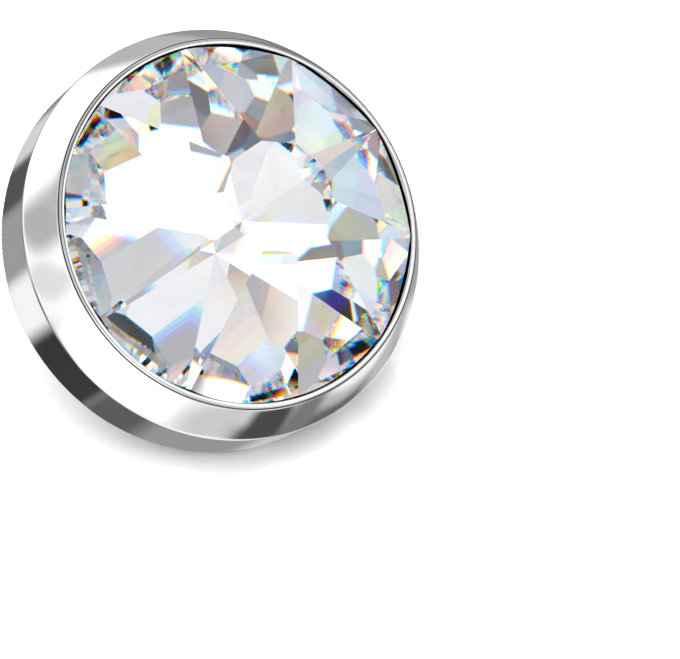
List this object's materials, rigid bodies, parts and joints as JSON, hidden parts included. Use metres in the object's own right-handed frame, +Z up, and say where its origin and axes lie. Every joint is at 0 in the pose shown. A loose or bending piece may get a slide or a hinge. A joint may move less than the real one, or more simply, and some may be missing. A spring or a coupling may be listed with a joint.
{
  "type": "dermal anchor top",
  "caption": "Round bevelled steel head with a large faceted clear crystal and a short threaded post that screws into an implanted anchor.",
  "frame": {"origin": "on the surface that the object lies on, under the middle of its bounding box", "axes": "+Z up; +X level, across the head; the crystal looks up and towards -Y, and the post points down and towards +Y"},
  "size_m": [0.005, 0.0046, 0.0041],
  "materials": {
    "polished_steel": "mirror polished stainless steel",
    "clear_crystal": "faceted, foil backed, clear",
    "post_steel": "turned stainless steel"
  },
  "bodies": {
    "root": {"setting": "polished_steel", "crystal": "clear_crystal", "threaded_post": "post_steel"}
  },
  "joints": []
}
